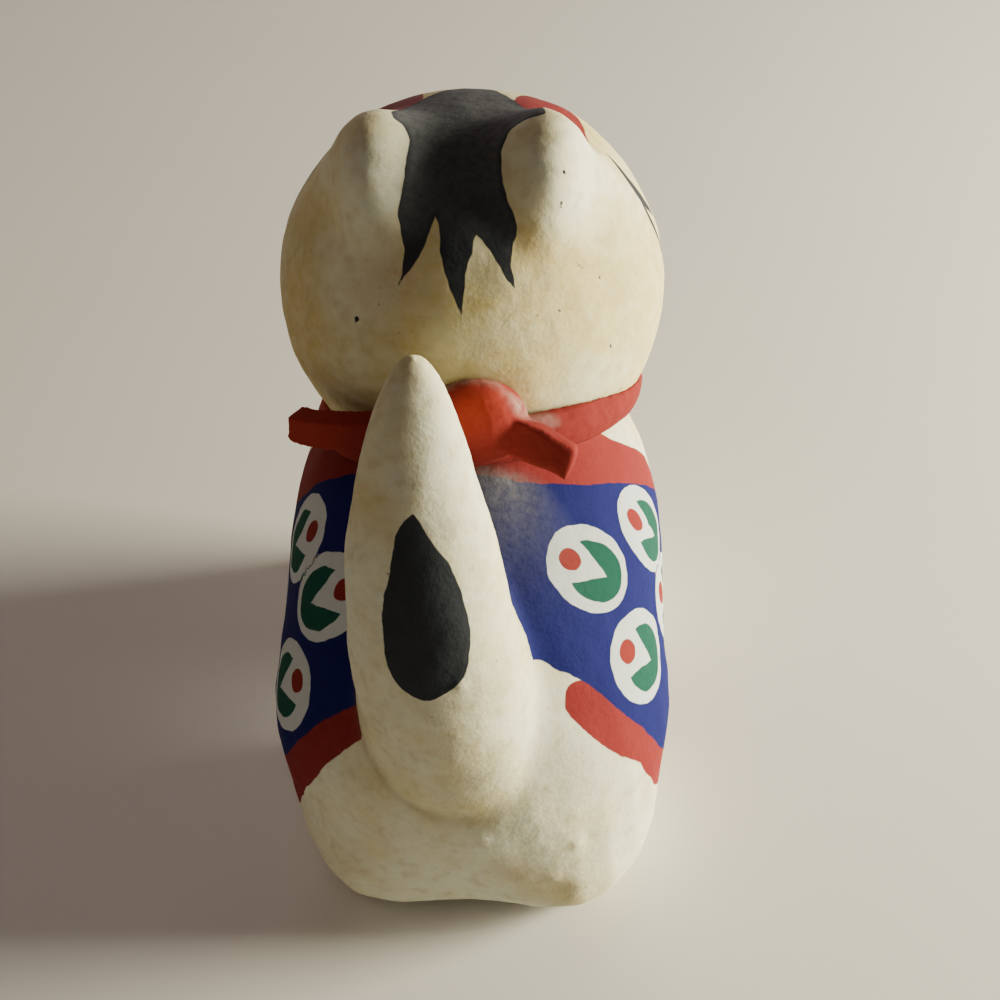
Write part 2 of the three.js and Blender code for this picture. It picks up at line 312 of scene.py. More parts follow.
def divide_where(piece, wanted):
    """Cut the faces whose middles are wanted into four."""
    mesh = piece.data
    middles = np.empty(len(mesh.polygons) * 3, np.float32)
    mesh.polygons.foreach_get("center", middles)
    chosen = wanted(middles.reshape(-1, 3) / MM)
    pick(piece)
    bpy.ops.object.mode_set(mode="EDIT")
    bpy.ops.mesh.select_mode(type="FACE")
    bpy.ops.mesh.select_all(action="DESELECT")
    bpy.ops.object.mode_set(mode="OBJECT")
    mesh.polygons.foreach_set("select", chosen)
    bpy.ops.object.mode_set(mode="EDIT")
    bpy.ops.mesh.subdivide(number_cuts=1)
    bpy.ops.object.mode_set(mode="OBJECT")


def relief(piece, name, size, depth):
    """Raise and sink the skin by a cloud of bumps about one size across."""
    cloud = bpy.data.textures.new(name, "CLOUDS")
    cloud.noise_scale = size * MM
    cloud.noise_depth = 1
    finish_with(piece, "DISPLACE", texture=cloud, texture_coords="LOCAL", strength=depth, mid_level=0.5)


def smooth_curve(stops, steps=5):
    """A rounded line through its stops."""
    stops = np.array(stops, float)
    padded = np.vstack([2 * stops[0] - stops[1], stops, 2 * stops[-1] - stops[-2]])
    line = []
    for i in range(1, len(padded) - 2):
        a, b, c, d = padded[i - 1:i + 3]
        for t in np.arange(steps) / steps:
            line.append(0.5 * (2 * b + (c - a) * t + (2 * a - 5 * b + 4 * c - d) * t ** 2
                               + (3 * b - a - 3 * c + d) * t ** 3))
    line.append(stops[-1])
    return np.array(line)


def inside(points, outline):
    """How far each 2-D point lies inside a closed outline: positive inside, negative outside."""
    ends = np.roll(outline, -1, axis=0)
    nearest = np.full(len(points), FAR)
    crossings = np.zeros(len(points), int)
    for a, b in zip(outline, ends):
        side = b - a
        length = side @ side
        if length < 1e-12:
            continue
        along = np.clip(((points - a) @ side) / length, 0, 1)
        nearest = np.minimum(nearest, np.linalg.norm(points - a - along[:, None] * side, axis=1))
        spans = (a[1] > points[:, 1]) != (b[1] > points[:, 1])
        with np.errstate(divide="ignore", invalid="ignore"):
            reach = a[0] + (points[:, 1] - a[1]) * side[0] / side[1]
        crossings += spans & (points[:, 0] < reach)
    return np.where(crossings % 2 == 1, nearest, -nearest)


def stroke(points, stops, widths):
    """How far each 3-D point lies inside a tapering brush stroke along a rounded line."""
    line = smooth_curve([(*stop, width) for stop, width in zip(stops, widths)])
    best = np.full(len(points), -FAR)
    for a, b in zip(line[:-1], line[1:]):
        side = b[:3] - a[:3]
        along = np.clip(((points - a[:3]) @ side) / (side @ side), 0, 1)
        half = (a[3] + (b[3] - a[3]) * along) / 2
        best = np.maximum(best, half - np.linalg.norm(points - a[:3] - along[:, None] * side, axis=1))
    return best


# ---------------------------------------------------------------- charts of the dog

def crown_chart(points):
    """Millimetres to the left, and over the head from the back of it."""
    over = np.arctan2(points[:, 2] - HEAD.z, points[:, 1] - HEAD.y)
    return np.stack([points[:, 0], HEAD_RADIUS * over], 1)


def coat_chart(points):
    """Round the body from the spine, without regard to side, and up."""
    around = np.degrees(np.arctan2(np.abs(points[:, 0]), points[:, 1] - BODY_AXIS_Y))
    return np.stack([around * COAT_SCALE, points[:, 2]], 1)


def coat_outline(*parts):
    """An outline on the coat's chart from its curved sides."""
    scaled = [smooth_curve(part) * (COAT_SCALE, 1) for part in parts]
    return np.vstack(scaled)


def glow(points, at, wide):
    """A share that is 1 at one place and fades out round it."""
    return np.exp(-(np.linalg.norm(points - np.array(at), axis=1) / wide) ** 2)


def skin_at(tree, around, up):
    """The point and the outward normal of the body's skin in one direction from the body's axis."""
    turn = math.radians(around)
    out = Vector((math.sin(turn), math.cos(turn), 0))
    well_outside = 90 * MM
    start = Vector((0, BODY_AXIS_Y * MM, up * MM)) + out * well_outside
    hit, normal, _, _ = tree.ray_cast(start, -out)
    return hit / MM, normal


# ---------------------------------------------------------------- finishes

def add(tree, kind, sockets=None, **settings):
    """Add one shader node with its settings, and its sockets' values or links."""
    node = tree.nodes.new(kind)
    for name, value in settings.items():
        setattr(node, name, value)
    for key, value in (sockets or {}).items():
        if isinstance(value, bpy.types.Node):
            value = value.outputs[0]
        elif isinstance(value, tuple) and isinstance(value[0], bpy.types.Node):
            value = value[0].outputs[value[1]]
        if isinstance(value, bpy.types.NodeSocket):
            tree.links.new(value, node.inputs[key])
        else:
            node.inputs[key].default_value = value
    return node


MATH, MIX, NOISE, RANGE = "ShaderNodeMath", "ShaderNodeMix", "ShaderNodeTexNoise", "ShaderNodeMapRange"


def new_finish(name):
    """A new material with an empty node tree."""
    finish = bpy.data.materials.new(name)
    finish.use_nodes = True
    finish.node_tree.nodes.clear()
    return finish, finish.node_tree


def per_mm(size):
    """The noise scale that gives patches about this many millimetres across, in metres' coordinates."""
    return 1 / (size * MM)


def blend(tree, share, under, over):
    """The colour over, laid on the colour under, by a share from 0 to 1."""
    return (add(tree, MIX, {0: share, 6: under, 7: over}, data_type="RGBA"), 2)


def edge(tree, attribute, wobble, soft=0.16):
    """A painted area from its stored distance, with the small swings that a brush leaves on its edge."""
    stored = add(tree, "ShaderNodeAttribute", attribute_name=attribute)
    moved = add(tree, MATH, {0: (stored, "Fac"), 1: wobble}, operation="ADD")
    return add(tree, RANGE, {0: moved, 1: -soft / 2, 2: soft / 2}, clamp=True)


def gofun_ground(tree, place, colours):
    """Shell-white gesso brushed over paper: cream that has yellowed in clouds, most on the head,
    with pale streaks, brown mottles, a grey grain, rusty places and a few fly specks."""
    clouds = add(tree, NOISE, {"Vector": place, "Scale": per_mm(26), "Detail": 4.0, "Roughness": 0.6})
    age = add(tree, "ShaderNodeAttribute", attribute_name="age")
    older = add(tree, MATH, {0: (age, "Fac"), 1: 0.22, 2: clouds}, operation="MULTIPLY_ADD")
    aged = add(tree, RANGE, {0: older, 1: 0.44, 2: 0.74, 4: 0.9}, clamp=True)
    ground = blend(tree, aged, colours.gofun, colours.aged)
    mottle = add(tree, NOISE, {"Vector": place, "Scale": per_mm(3.2), "Detail": 5.0, "Roughness": 0.7})
    pale = add(tree, RANGE, {0: mottle, 1: 0.5, 2: 0.75, 4: 0.4}, clamp=True)
    ground = blend(tree, pale, ground, colour("#E9E7CF"))
    stain = add(tree, RANGE, {0: mottle, 1: 0.5, 2: 0.32, 4: 0.48}, clamp=True)
    ground = blend(tree, stain, ground, colour("#B5A274"))
    grain = add(tree, NOISE, {"Vector": place, "Scale": per_mm(0.8), "Detail": 3.0, "Roughness": 0.7})
    grey = add(tree, RANGE, {0: grain, 1: 0.5, 2: 0.7, 4: 0.35}, clamp=True)
    ground = blend(tree, grey, ground, colour("#B9B79F"))
    rusty = add(tree, "ShaderNodeAttribute", attribute_name="rust")
    spotty = add(tree, MATH, {0: (rusty, "Fac"), 1: add(tree, RANGE, {0: mottle, 1: 0.4, 2: 0.62, 4: 0.55})},
                 operation="MULTIPLY")
    ground = blend(tree, spotty, ground, colour("#B98A62"))
    cells = add(tree, "ShaderNodeTexVoronoi", {"Vector": place, "Scale": per_mm(3.4)})
    fly = add(tree, RANGE, {0: (cells, "Distance"), 1: 0.09, 2: 0.05}, clamp=True)
    rare = add(tree, "ShaderNodeSeparateColor", {0: (cells, "Color")})
    few = add(tree, MATH, {0: (rare, 0), 1: 0.86}, operation="GREATER_THAN")
    specks = add(tree, MATH, {0: fly, 1: few}, operation="MULTIPLY")
    specks = add(tree, MATH, {0: specks, 1: 0.6}, operation="MULTIPLY")
    return blend(tree, specks, ground, colour("#6B5A42"))


def gesso_bump(tree, place):
    """Grain that a stiff brush leaves, about 1 to 3.5 mm across."""
    fine = add(tree, NOISE, {"Vector": place, "Scale": per_mm(0.9), "Detail": 3.0, "Roughness": 0.6})
    wide = add(tree, NOISE, {"Vector": place, "Scale": per_mm(3.5), "Detail": 3.0, "Roughness": 0.55})
    both = add(tree, MATH, {0: wide, 1: 1.6, 2: fine}, operation="MULTIPLY_ADD")
    return add(tree, "ShaderNodeBump", {"Strength": 0.6, "Distance": 0.14 * MM, "Height": both})


def on_disc(tree, within, wobble, disc):
    """A hand-painted shape on a disc, from how far a point lies inside the shape."""
    moved = add(tree, MATH, {0: within, 1: wobble}, operation="ADD")
    sharp = add(tree, RANGE, {0: moved, 1: -0.08, 2: 0.08}, clamp=True)
    return add(tree, MATH, {0: sharp, 1: disc}, operation="MULTIPLY")


def painted_shell(colours):
    """Distemper on gofun gesso over pasted paper: matte, opaque and brushed by hand, so its edges
    swing a little, its colours are streaky, and it shines hardly at all."""
    finish, tree = new_finish("Distemper on gofun gesso")
    place = (add(tree, "ShaderNodeTexCoord"), "Object")
    look = gofun_ground(tree, place, colours)
    swing = add(tree, NOISE, {"Vector": place, "Scale": per_mm(4.5), "Detail": 2.0})
    wobble = add(tree, RANGE, {0: swing, 1: 0.25, 2: 0.75, 3: -0.28, 4: 0.28})

    worn = add(tree, NOISE, {"Vector": place, "Scale": per_mm(1.4), "Detail": 4.0, "Roughness": 0.7})
    streaky = add(tree, RANGE, {0: worn, 1: 0.35, 2: 0.8, 4: 0.35}, clamp=True)
    red = blend(tree, streaky, colours.red, colour("#8C312C"))
    look = blend(tree, edge(tree, "border", wobble), look, red)
    blue = blend(tree, streaky, colours.blue, colour("#131A5E"))
    look = blend(tree, edge(tree, "coat", wobble), look, blue)
    dusty = add(tree, "ShaderNodeAttribute", attribute_name="dust")
    patchy = add(tree, MATH, {0: (dusty, "Fac"), 1: add(tree, RANGE, {0: worn, 1: 0.3, 2: 0.6, 3: 0.45})},
                 operation="MULTIPLY")

    disc = edge(tree, "disc", wobble)
    look = blend(tree, disc, look, blend(tree, streaky, colour("#C1C8CA"), colour("#B0B8BC")))
    motif = (add(tree, "ShaderNodeAttribute", attribute_name="motif"), "Vector")
    across = add(tree, "ShaderNodeSeparateXYZ", {0: motif})
    to_leaf = add(tree, "ShaderNodeVectorMath", {0: motif, 1: (-DISC["leaf_back"], 0, 0)}, operation="DISTANCE")
    leaf = add(tree, MATH, {0: DISC["leaf"], 1: (to_leaf, 1)}, operation="SUBTRACT")
    from_notch = add(tree, MATH, {0: (across, 0), 1: math.sin(NOTCH_HALF),
                                  2: DISC["notch_back"] * math.sin(NOTCH_HALF)}, operation="MULTIPLY_ADD")
    aside = add(tree, MATH, {0: (across, 1)}, operation="ABSOLUTE")
    notch = add(tree, MATH, {0: aside, 1: -math.cos(NOTCH_HALF), 2: from_notch}, operation="MULTIPLY_ADD")
    outside_notch = add(tree, MATH, {0: notch, 1: -1.0}, operation="MULTIPLY")
    leaf = add(tree, MATH, {0: leaf, 1: outside_notch}, operation="MINIMUM")
    green = blend(tree, streaky, colours.green, colour("#1C5A4C"))
    look = blend(tree, on_disc(tree, leaf, wobble, disc), look, green)
    to_dot = add(tree, "ShaderNodeVectorMath", {0: motif, 1: (DISC["dot_out"], 0, 0)}, operation="DISTANCE")
    dot = add(tree, MATH, {0: DISC["dot"], 1: (to_dot, 1)}, operation="SUBTRACT")
    look = blend(tree, on_disc(tree, dot, wobble, disc), look, colour("#7E2623"))

    look = blend(tree, edge(tree, "ear_red", wobble), look, red)
    ink = blend(tree, streaky, colours.ink, colour("#363A3F"))
    look = blend(tree, edge(tree, "hair", wobble), look, ink)
    look = blend(tree, edge(tree, "drop", wobble), look, ink)
    # Grey laid over the coat's dust, and as a painted highlight over the crown's hair.
    look = blend(tree, patchy, look, colour("#7F8184"))
    look = blend(tree, edge(tree, "face", 0.0), look, ink)

    # Painted shade in brown along the seam under the tail.
    shut_in = add(tree, "ShaderNodeAttribute", attribute_name="crease")
    crease_shade = add(tree, MATH, {0: (shut_in, "Fac"), 1: 0.5}, operation="MULTIPLY")
    look = blend(tree, crease_shade, look, colour("#6E5F48"))
    surface = add(tree, "ShaderNodeBsdfPrincipled", {
        "Base Color": look, "Roughness": 0.85, "IOR": 1.45, "Specular IOR Level": 0.18,
        "Normal": gesso_bump(tree, place)})
    add(tree, "ShaderNodeOutputMaterial", {0: surface})
    return finish


def dyed_paper(colours):
    """Red-dyed paper, pasted in layers and dried hard: matte and uneven, and dusty over the knot. Painted light:
    a lighter orange-red on the knot's bulge and on the shaded left end; painted shade: a deeper red on the right
    end."""
    finish, tree = new_finish("Dyed paper, pasted and dried")
    place = (add(tree, "ShaderNodeTexCoord"), "Object")
    worn = add(tree, NOISE, {"Vector": place, "Scale": per_mm(2.2), "Detail": 5.0, "Roughness": 0.7})
    streaky = add(tree, RANGE, {0: worn, 1: 0.4, 2: 0.75, 4: 0.5}, clamp=True)
    look = blend(tree, streaky, colours.ribbon, colour("#7C2723"))
    # Painted light in a lighter orange-red: a highlight on the knot's bulge, and the shaded left end lifted.
    knot_and_end_light = add(tree, "ShaderNodeAttribute", attribute_name="bright")
    look = blend(tree, (knot_and_end_light, "Fac"), look, colour("#9C3425"))
    # Painted shade in a deeper red on the right end.
    turned = add(tree, "ShaderNodeAttribute", attribute_name="dark")
    look = blend(tree, (turned, "Fac"), look, colour("#74211F"))
    dusty = add(tree, "ShaderNodeAttribute", attribute_name="dust")
    patchy = add(tree, MATH, {0: (dusty, "Fac"), 1: add(tree, RANGE, {0: worn, 1: 0.35, 2: 0.65, 3: 0.2})},
                 operation="MULTIPLY")
    look = blend(tree, patchy, look, colour("#9B7F78"))
    surface = add(tree, "ShaderNodeBsdfPrincipled", {
        "Base Color": look, "Roughness": 0.85, "IOR": 1.45, "Specular IOR Level": 0.18,
        "Normal": gesso_bump(tree, place)})
    add(tree, "ShaderNodeOutputMaterial", {0: surface})
    return finish


# ---------------------------------------------------------------- the dog

def paint_dog(piece, dog_tree, tail_tree):
    """Store where each colour lies on the skin, in millimetres inside its edge."""
    points = skin_points(piece)
    off_dog = far_from(dog_tree, points)
    off_tail = far_from(tail_tree, points) - off_dog
    head_off = np.linalg.norm(points - np.array(HEAD), axis=1) - HEAD_RADIUS
    crown = crown_chart(points)
    outline = np.vstack([smooth_curve(part) for part in HAIR])
    hair = inside(crown, outline)
    store(piece, "hair", hair)

    chart = coat_chart(points)
    right = points[:, 0] < 0
    under_neck = np.minimum(head_off - NECK["off_head"], NECK["up"] - points[:, 2])
    on_body = np.minimum(under_neck, off_tail)
    halves = ((COAT_TOP_RIGHT, COAT_HEM_RIGHT), (COAT_TOP_LEFT, COAT_HEM_LEFT))
    coats = [inside(chart, coat_outline(*half)) for half in halves]
    store(piece, "coat", np.minimum(np.where(right, *coats), on_body))
    hems = (BORDER_RIGHT, BORDER_LEFT)
    borders = [inside(chart, coat_outline(BORDER_FRONT, hem, BORDER_INSIDE)) for hem in hems]
    store(piece, "border", np.minimum(np.where(right, *borders), on_body))
    disc, motif = disc_charts(points, dog_tree)
    store(piece, "disc", np.minimum(disc, on_body))
    store(piece, "motif", motif)

    ear = points.copy()
    ear[:, 0] = np.abs(ear[:, 0])
    ear -= np.array(EAR_MIDDLE)
    front = -(ear[:, 1] * math.cos(EAR_SLOPE) + ear[:, 2] * math.sin(EAR_SLOPE))
    high = -ear[:, 1] * math.sin(EAR_SLOPE) + ear[:, 2] * math.cos(EAR_SLOPE)
    from_middle = (high - np.where(right, *EAR_RED["high"])) / EAR_RED["stretch"]
    leaf = EAR_RED["half"] - np.hypot(ear[:, 0] - EAR_RED["x"], from_middle)
    store(piece, "ear_red", np.minimum(leaf, front - np.where(right, *EAR_RED["front"])))

    marks = np.full(len(points), -FAR)
    on_head = head_off < HEAD_PAINT_REACH
    marks[on_head] = ink_marks(points[on_head])
    for start, end, wide in FLECKS:
        marks = np.maximum(marks, stroke(points, (start, end), (wide, wide)))
    store(piece, "face", marks)
    store(piece, "drop", np.minimum(inside(points[:, [0, 2]], smooth_curve(DROP)), -off_tail))

    on_hair = np.clip(hair, 0, 1) * (points[:, 2] > HEAD.z)
    # Painted highlight: the hair lightens towards the top of the crown; it is stored with the coat's dust.
    crown_light = np.clip((points[:, 2] - CROWN_LIGHT["up"]) / CROWN_LIGHT["over"], 0, 1)
    on_coat = coat_dust(points) * (head_off > NECK["off_head"]) * (off_tail > 0) * DUST["share"]
    store(piece, "dust", np.maximum(on_coat, crown_light * on_hair * CROWN_LIGHT["share"]))
    store(piece, "age", np.clip(1 - head_off / AGED_REACH, 0, 1))
    store(piece, "rust", np.max([glow(points, at, wide) for at, wide in STAINS], axis=0))
    # Painted shade along the seam where the tail meets the body, fading out higher up.
    seam = np.exp(-(np.abs(off_tail) / CREASE_SHADE["wide"]) ** 2)
    seam *= np.clip((CREASE_SHADE["top"] - points[:, 2]) / CREASE_SHADE["over"], 0, 1)
    store(piece, "crease", seam * (off_dog < CREASE_SHADE["off_body"]) * CREASE_SHADE["share"])


def disc_charts(points, dog_tree):
    """How far each point lies inside a disc, and its place on the disc, evened out to a round one."""
    disc = np.full(len(points), -FAR)
    motif = np.zeros((len(points), 3))
    for around, up, turn, long, short, lean in DISCS:
        side = math.copysign(1, around)
        middle, normal = skin_at(dog_tree, around, up)
        level = Vector((math.cos(math.radians(around)), -math.sin(math.radians(around)), 0)) * side
        level = (level - normal * level.dot(normal)).normalized()
        rise = normal.cross(level) * side
        rise = -rise if rise.z < 0 else rise
        away = points - np.array(middle)
        far = np.linalg.norm(away, axis=1)
        flat = np.stack([away @ np.array(level), away @ np.array(rise)], 1)
        flat *= (far / np.maximum(np.linalg.norm(flat, axis=1), 1e-6))[:, None]
        tilt = math.radians(lean)
        axes = np.array(((math.cos(tilt), math.sin(tilt)), (-math.sin(tilt), math.cos(tilt))))
        round_off = (flat @ axes.T) * (DISC["radius"] / long, DISC["radius"] / short) @ axes
        spin = DISC_TURN + math.radians(turn)
        turned = round_off @ np.array(((math.cos(spin), -math.sin(spin)), (math.sin(spin), math.cos(spin))))
        within = DISC["radius"] - np.linalg.norm(round_off, axis=1)
        near = within > disc
        motif[near, :2] = turned[near]
        disc = np.maximum(disc, within)
    return disc, motif


def coat_dust(points):
    """The share of dust that lies along the upper edge of the coat, on its right."""
    around = np.degrees(np.arctan2(-points[:, 0], points[:, 1] - BODY_AXIS_Y))
    falling = COAT_TOP_RIGHT[:9]
    below = np.interp(around, *np.transpose(falling)) - points[:, 2]
    fallen = np.exp(-np.maximum(below, 0) / DUST["down"])
    fallen *= np.exp(-(np.minimum(below, 0) / DUST["over"]) ** 2)
    starting = np.clip((around - DUST["from"]) / DUST["start"], 0, 1)
    ending = np.clip((DUST["to"] - around) / DUST["end"], 0, 1)
    return fallen * starting * ending


def ink_marks(points):
    """How far each point lies inside a brush mark of the brows or the face."""
    marks = np.full(len(points), -FAR)
    on_front = points[:, 1] < HEAD.y
    for side in (-1, 1):
        for stops, widths in BROWS:
            placed = np.array(stops) * (side, 1, 1) - (0, LEFT_BROW_AHEAD if side > 0 else 0, 0)
            marks = np.maximum(marks, stroke(points, placed, widths))
        chart = np.stack([points[:, 0] * side, points[:, 2], np.zeros(len(points))], 1)
        for stops, widths in FACE:
            drawn = stroke(chart, [(*stop, 0) for stop in stops], widths)
            marks = np.maximum(marks, np.where(on_front, drawn, -FAR))
        eye = 1 - np.hypot((chart[:, 0] - EYE["x"]) / EYE["wide"], (chart[:, 1] - EYE["z"]) / EYE["high"])
        marks = np.maximum(marks, np.where(on_front, eye * EYE["wide"], -FAR))
    nose = 1 - np.hypot(points[:, 0] / NOSE["wide"], (points[:, 2] - NOSE["z"]) / NOSE["high"])
    return np.maximum(marks, np.where(on_front, nose * NOSE["high"], -FAR))


def tail_middle(up):
    """Where the middle of the tail lies at a height."""
    risen = np.maximum(up - TAIL["widest"], 0) / TAIL["up"]
    along = np.clip((up - TAIL_DRIFT["from"]) / TAIL_DRIFT["over"], 0, 1)
    x = TAIL_DRIFT["x"] + TAIL_DRIFT["left"] * along * (2 - along)
    y = TAIL["y"] - TAIL["forward"] * risen ** 2
    return x, y


def tail_blank():
    """The tail as a ball drawn out upwards, leaning to the nape."""
    bpy.ops.object.select_all(action="DESELECT")
    bpy.ops.mesh.primitive_uv_sphere_add(segments=TAIL_FINENESS, ring_count=TAIL_FINENESS, radius=MM)
    tail = bpy.context.object
    tail.name = "tail_blank"
    unit = skin_points(tail)
    unit /= np.linalg.norm(unit, axis=1)[:, None]
    up = TAIL["widest"] + unit[:, 2] * np.where(unit[:, 2] > 0, TAIL["up"], TAIL["down"])
    x, y = tail_middle(up)
    wide = TAIL["wide"] * np.interp(up, *np.transpose(TAIL_TAPER))
    set_skin(tail, np.stack([x + unit[:, 0] * wide, y + unit[:, 1] * TAIL["thick"], up], 1))
    return tail


def far_from(tree, points):
    """How far each point lies from a skin, in millimetres."""
    return np.array([tree.find_nearest(Vector(point) * MM)[3] for point in points]) / MM


def smooth_where(piece, weights, times):
    """Smooth the skin, the more the nearer a point's weight is to 1."""
    group = piece.vertex_groups.new(name="soften")
    for i in np.nonzero(weights > 0.01)[0]:
        group.add([int(i)], float(min(weights[i], 1)), "REPLACE")
    finish_with(piece, "SMOOTH", factor=SMOOTHING["factor"], iterations=times, vertex_group="soften")
    piece.vertex_groups.clear()


def pimples(points, normals):
    """Raise the bumps, and press the short creases, that the paper has here and there."""
    lift = np.zeros(len(points))
    for at, wide, high in BUMPS:
        lift += high * glow(points, at, wide)
    for stops, wide, deep in CREASES:
        lift -= deep * np.exp(-((wide / 2 - stroke(points, stops, [wide] * len(stops))) / wide) ** 2)
    return points + normals * lift[:, None]


def finely_painted(points):
    """Where the paint has fine edges: the crown, the right brow and the face."""
    x, y, z = points.T
    crown = (z > 113) & (y > -30) & (x < 16) & (x > -24)
    brow = (z > 102) & (y > -31) & (x < -23)
    face = (z > 84) & (y < -47)
    return crown | brow | face


class FIGURE_OT_dog(bpy.types.Operator):
    """Make the dog's shell with its tail pasted on, gesso both as one skin, and paint them"""
    bl_idname = "figure.dog"
    bl_label = "Dog and tail"

    def execute(self, context):
        sizes = context.scene.figure_sizes
        dog = copy_of_node("dog", "painted_dog")
        tail = tail_blank()
        graph = bpy.context.evaluated_depsgraph_get()
        dog_tree, tail_tree = BVHTree.FromObject(dog, graph), BVHTree.FromObject(tail, graph)
        pick(dog)
        tail.select_set(True)
        bpy.ops.object.join()
        finish_with(dog, "REMESH", mode="VOXEL", voxel_size=sizes.grain, adaptivity=0.0)
        finish_with(dog, "SMOOTH", factor=SMOOTHING["factor"], iterations=SMOOTHING["skin"])

        points = skin_points(dog)
        from_seam = np.maximum(far_from(tail_tree, points), far_from(dog_tree, points))
        seam = np.clip(PASTE["near"] - from_seam / PASTE["reach"], 0, 1)
        higher = np.clip((points[:, 2] - PASTE["from"]) / PASTE["over"], 0, 1)
        smooth_where(dog, seam * (PASTE["least"] + (1 - PASTE["least"]) * higher), PASTE["times"])

        head_off = np.linalg.norm(points - np.array(HEAD), axis=1) - HEAD_RADIUS
        outer = np.clip((np.abs(points[:, 0]) - EAR_JOIN["out"]) / EAR_JOIN["over"], 0, 1)
        outer *= points[:, 2] > EAR_JOIN["up"]
        join = np.clip(EAR_JOIN["near"] - np.abs(head_off - EAR_JOIN["off_head"]) / EAR_JOIN["reach"], 0, 1)
        smooth_where(dog, join * outer, EAR_JOIN["times"])

        divide_where(dog, finely_painted)
        finish_with(dog, "SMOOTH", factor=SMOOTHING["factor"], iterations=SMOOTHING["painted"])
        relief(dog, "Pasted paper", LUMP_SIZES["paper"], sizes.lumps)
        relief(dog, "Pasted creases", LUMP_SIZES["creases"], sizes.lumps / 3)
        relief(dog, "Brushed gesso", LUMP_SIZES["gesso"], sizes.grit)
        points = pimples(skin_points(dog), skin_normals(dog))
        points[:, 2] = np.where(points[:, 2] < SOLE, 0, points[:, 2])
        points[:, 0] = np.clip(points[:, 0], -WIDEST, WIDEST)
        points[:, 1] = np.clip(points[:, 1], -DEEPEST, DEEPEST)
        points[:, 2] = np.minimum(points[:, 2], EARS_TOP)
        set_skin(dog, points)
        bpy.ops.object.shade_smooth()
        paint_dog(dog, dog_tree, tail_tree)
        dog.data.materials.append(painted_shell(context.scene.figure_colours))
        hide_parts("dog", "tail")
        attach(dog, "root")
        return {"FINISHED"}


# ---------------------------------------------------------------- the ribbon

class FIGURE_OT_ribbon(bpy.types.Operator):
    """Make the ribbon round the neck, with its knot and its two stiff ends"""
    bl_idname = "figure.ribbon"
    bl_label = "Neck ribbon"

    def execute(self, context):
        ribbon = copy_of_node("neck_ribbon", "red_ribbon")
        grain = context.scene.figure_sizes.ribbon_grain
        finish_with(ribbon, "REMESH", mode="VOXEL", voxel_size=grain, adaptivity=0.0)
        finish_with(ribbon, "SMOOTH", factor=SMOOTHING["factor"], iterations=4)
        from_tip = np.linalg.norm(skin_points(ribbon) - np.array(RIGHT_TIP["at"]), axis=1)
        worn = np.clip(RIGHT_TIP["near"] - from_tip / RIGHT_TIP["wide"], 0, 1)
        smooth_where(ribbon, worn, RIGHT_TIP["times"])
        for name, (size, depth) in RIBBON_RELIEF.items():
            relief(ribbon, "Ribbon " + name, size, depth * MM)
        bpy.ops.object.shade_smooth()
        points = skin_points(ribbon)
        store(ribbon, "dust", np.clip(0.5 + stroke(points, KNOT_RIM, KNOT_RIM_WIDE) / RIM_SOFT, 0, 1))
        # Painted light: the left end, which lies in shade, is lightened, and so is the knot's bulge where the light
        # falls.
        left_end_light = np.clip((points[:, 0] - LEFT_END_LIGHT["from"]) / LEFT_END_LIGHT["over"], 0, 1) * LEFT_END_LIGHT["share"]
        store(ribbon, "bright", np.maximum(glow(points, **KNOT_HIGHLIGHT), left_end_light))
        # Painted shade on the right end, which faces away from the light.
        store(ribbon, "dark", glow(points, **RIGHT_END_SHADE))
        ribbon.data.materials.append(dyed_paper(context.scene.figure_colours))
        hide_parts("neck_ribbon")
        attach(ribbon, "root")
        return {"FINISHED"}


# ---------------------------------------------------------------- the stage

CAMERA_AT = Vector((-20.9, 197.9, 260.0)) * MM
CAMERA_AIM = {"azimuth": math.radians(184.5), "elevation": math.radians(45), "roll": math.radians(2.3)}
CAMERA_FIELD = math.radians(40)

# A broad soft light low on the dog's right, and weak ones all round: name, place and size in
# metres, power in watts, and colour.
LIGHTS = (
    ("window", (-0.74, -0.08, 0.1), (0.5, 0.24), 35.0, "#FFF8DA"),
    ("front", (0.0, -1.2, 0.25), (0.8, 0.5), 5.0, "#FFF0EE"),
    ("left", (0.9, -0.4, 0.4), (0.7, 0.6), 0.5, "#FFCFB4"),
    ("above", (0.15, 0.4, 1.1), (0.8, 0.8), 1.35, "#FFE9DA"),
)
FLOOR = {"flat": 1.6, "sweep": 0.6, "wall": 0.2, "steps": 12}  # metres
LIT_MIDDLE = Vector((0, 0, 0.06))  # metres; what the lights point at
ROOM = {"tint": "#FFF0DC", "strength": 0.006}


def aim(direction, roll):
    """A turn that looks along a direction with the horizon tipped by roll."""
    right = direction.cross(Vector((0, 0, 1))).normalized()
    up = right.cross(direction)
    tipped_right = right * math.cos(roll) - up * math.sin(roll)
    tipped_up = right * math.sin(roll) + up * math.cos(roll)
    return Matrix((tipped_right, tipped_up, -direction)).transposed()


